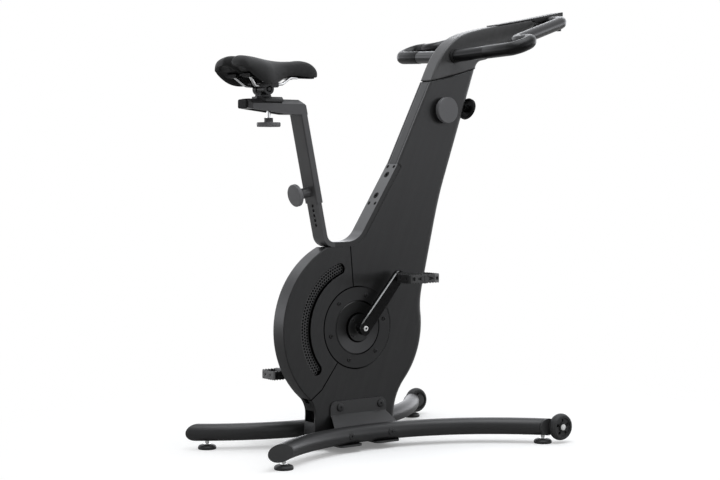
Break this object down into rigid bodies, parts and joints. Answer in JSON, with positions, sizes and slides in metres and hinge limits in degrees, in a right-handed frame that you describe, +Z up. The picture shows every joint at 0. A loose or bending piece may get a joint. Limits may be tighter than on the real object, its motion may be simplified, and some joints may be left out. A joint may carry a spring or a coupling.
{
  "type": "exercise bike",
  "caption": "Exercise bike: slim black wooden column, bent-bar seat post, closed-loop handlebar, round vented drive housing, and bowed base tubes with levelling feet and transport wheels",
  "frame": {"origin": "on the floor, under the middle of the bike's box", "axes": "+X forward, +Y to the rider's left, +Z up"},
  "size_m": [1.1064, 0.629, 1.1519],
  "materials": {
    "wood": "black-stained, satin, faint grain",
    "black_lid": "satin black",
    "black_metal": "satin black powder coat",
    "gloss_black": "gloss black",
    "steel": "plain",
    "zinc": "bright zinc plate",
    "alloy": "turned",
    "grey_tube": "dark grey satin coat",
    "knob": "fine matt",
    "rubber": "matt",
    "tyre": "matt",
    "foot": "matt",
    "mesh": "perforated sheet, matt black",
    "pedal": "pale grey",
    "leather": "soft black synthetic leather",
    "magnet": "nickel plate",
    "belt": "ribbed"
  },
  "bodies": {
    "frame": {"column_core": "wood", "right_panel": "wood", "left_panel": "wood", "rear_cover": "wood", "vent_meshes": "mesh", "right_access_cover": "black_lid", "left_access_cover": "black_lid", "cover_screws": "zinc", "crank_bearings": "steel", "drive_posts": "steel", "primary_belt": "belt", "secondary_belt": "belt", "brake_cable": "rubber", "port_plate": "black_lid", "seat_bar": "black_metal", "seat_bar_screws": "zinc", "right_base_tube": "grey_tube", "left_base_tube": "grey_tube", "tube_end_caps": "foot", "wheel_plates": "black_metal", "right_bracket": "black_metal", "left_bracket": "black_metal", "base_bolts": "zinc", "tube_spacers": "steel", "cross_plates": "black_metal"},
    "crank": {"crank_shaft": "steel", "crank_pulley": "alloy", "right_crank": "gloss_black", "left_crank": "gloss_black", "crank_bolts": "zinc", "pedal_spindles": "steel"},
    "right_pedal": {"right_pedal": "pedal"},
    "left_pedal": {"left_pedal": "pedal"},
    "flywheel": {"flywheel": "alloy", "flywheel_bearings": "steel"},
    "jackshaft": {"jack_pulley": "alloy"},
    "brake": {"magnet_carriage": "steel", "brake_magnets": "magnet"},
    "resistance_knob": {"resistance_knob": "knob"},
    "head": {"head_block": "wood", "head_tongue": "steel", "handlebar": "grey_tube", "grips": "rubber", "bar_collars": "rubber", "tablet_plate": "black_metal"},
    "head_clamp": {"head_clamp_knob": "knob"},
    "seat": {"seat_carrier": "black_metal"},
    "index_pin": {"index_pin": "knob"},
    "slider": {"saddle_slider": "black_metal"},
    "saddle_clamp": {"saddle_clamp_knob": "knob"},
    "saddle": {"saddle_jaws": "black_metal", "saddle_rails": "zinc", "saddle_shell": "black_lid", "saddle_cushion": "leather"},
    "right_wheel": {"right_wheel": "tyre"},
    "left_wheel": {"left_wheel": "tyre"},
    "right_rear_foot": {"right_rear_foot": "foot"},
    "left_rear_foot": {"left_rear_foot": "foot"},
    "right_front_foot": {"right_front_foot": "foot"},
    "left_front_foot": {"left_front_foot": "foot"}
  },
  "joints": [
    {"name": "crank_spin", "type": "hinge", "parent": "frame", "child": "crank", "pos_m": [-0.1668, 0, 0.307], "axis": [0, 1, 0], "continuous": true},
    {"name": "right_pedal_spin", "type": "hinge", "parent": "crank", "child": "right_pedal", "pos_m": [-0.05572, -0.134, 0.43569], "axis": [0, 1, 0], "continuous": true},
    {"name": "left_pedal_spin", "type": "hinge", "parent": "crank", "child": "left_pedal", "pos_m": [-0.27788, 0.154, 0.17831], "axis": [0, 1, 0], "continuous": true},
    {"name": "flywheel_spin", "type": "hinge", "parent": "frame", "child": "flywheel", "pos_m": [-0.1668, -0.008, 0.307], "axis": [0, 1, 0], "continuous": true},
    {"name": "jackshaft_spin", "type": "hinge", "parent": "frame", "child": "jackshaft", "pos_m": [-0.10427, 0.004, 0.40707], "axis": [0, 1, 0], "continuous": true},
    {"name": "resistance_turn", "type": "hinge", "parent": "frame", "child": "resistance_knob", "pos_m": [0.1192, -0.036, 0.869], "axis": [0, -1, 0], "range_deg": [0, 270]},
    {"name": "brake_swing", "type": "hinge", "parent": "frame", "child": "brake", "pos_m": [-0.32224, 0.002, 0.20215], "axis": [0, 1, 0], "range_deg": [0, 12]},
    {"name": "head_slide", "type": "slide", "parent": "frame", "child": "head", "axis": [0.3907, 0, 0.9205], "range_m": [0, 0.06]},
    {"name": "head_clamp_turn", "type": "hinge", "parent": "frame", "child": "head_clamp", "pos_m": [0.2015, 0, 0.882], "axis": [0.9406, 0, -0.3395], "range_deg": [0, 360]},
    {"name": "seat_slide", "type": "slide", "parent": "frame", "child": "seat", "axis": [-0.2096, 0, 0.9778], "range_m": [-0.075, 0.075]},
    {"name": "index_pin_slide", "type": "slide", "parent": "seat", "child": "index_pin", "axis": [0.9778, 0, 0.2096], "range_m": [0, 0.007]},
    {"name": "saddle_slide", "type": "slide", "parent": "seat", "child": "slider", "axis": [1, 0, 0], "range_m": [-0.03, 0.03]},
    {"name": "saddle_clamp_turn", "type": "hinge", "parent": "slider", "child": "saddle_clamp", "pos_m": [-0.4228, 0, 0.83], "axis": [0, 0, 1], "range_deg": [0, 360]},
    {"name": "saddle_tilt", "type": "hinge", "parent": "slider", "child": "saddle", "pos_m": [-0.4388, 0, 0.91], "axis": [0, 1, 0], "range_deg": [-10, 10]},
    {"name": "right_wheel_spin", "type": "hinge", "parent": "frame", "child": "right_wheel", "pos_m": [0.2869, -0.3007, 0.0418], "axis": [0, 1, 0], "continuous": true},
    {"name": "left_wheel_spin", "type": "hinge", "parent": "frame", "child": "left_wheel", "pos_m": [0.2869, 0.3007, 0.0418], "axis": [0, 1, 0], "continuous": true},
    {"name": "right_rear_foot_screw", "type": "slide", "parent": "frame", "child": "right_rear_foot", "axis": [0, 0, 1], "range_m": [-0.01, 0.005]},
    {"name": "right_front_foot_screw", "type": "slide", "parent": "frame", "child": "right_front_foot", "axis": [0, 0, 1], "range_m": [-0.01, 0.005]},
    {"name": "left_rear_foot_screw", "type": "slide", "parent": "frame", "child": "left_rear_foot", "axis": [0, 0, 1], "range_m": [-0.01, 0.005]},
    {"name": "left_front_foot_screw", "type": "slide", "parent": "frame", "child": "left_front_foot", "axis": [0, 0, 1], "range_m": [-0.01, 0.005]}
  ],
  "couplings": [
    {"joint": "jackshaft_spin", "follows": "crank_spin", "ratio": 3.25},
    {"joint": "flywheel_spin", "follows": "crank_spin", "ratio": 6.2292},
    {"joint": "brake_swing", "follows": "resistance_turn", "ratio": 0.044444}
  ]
}
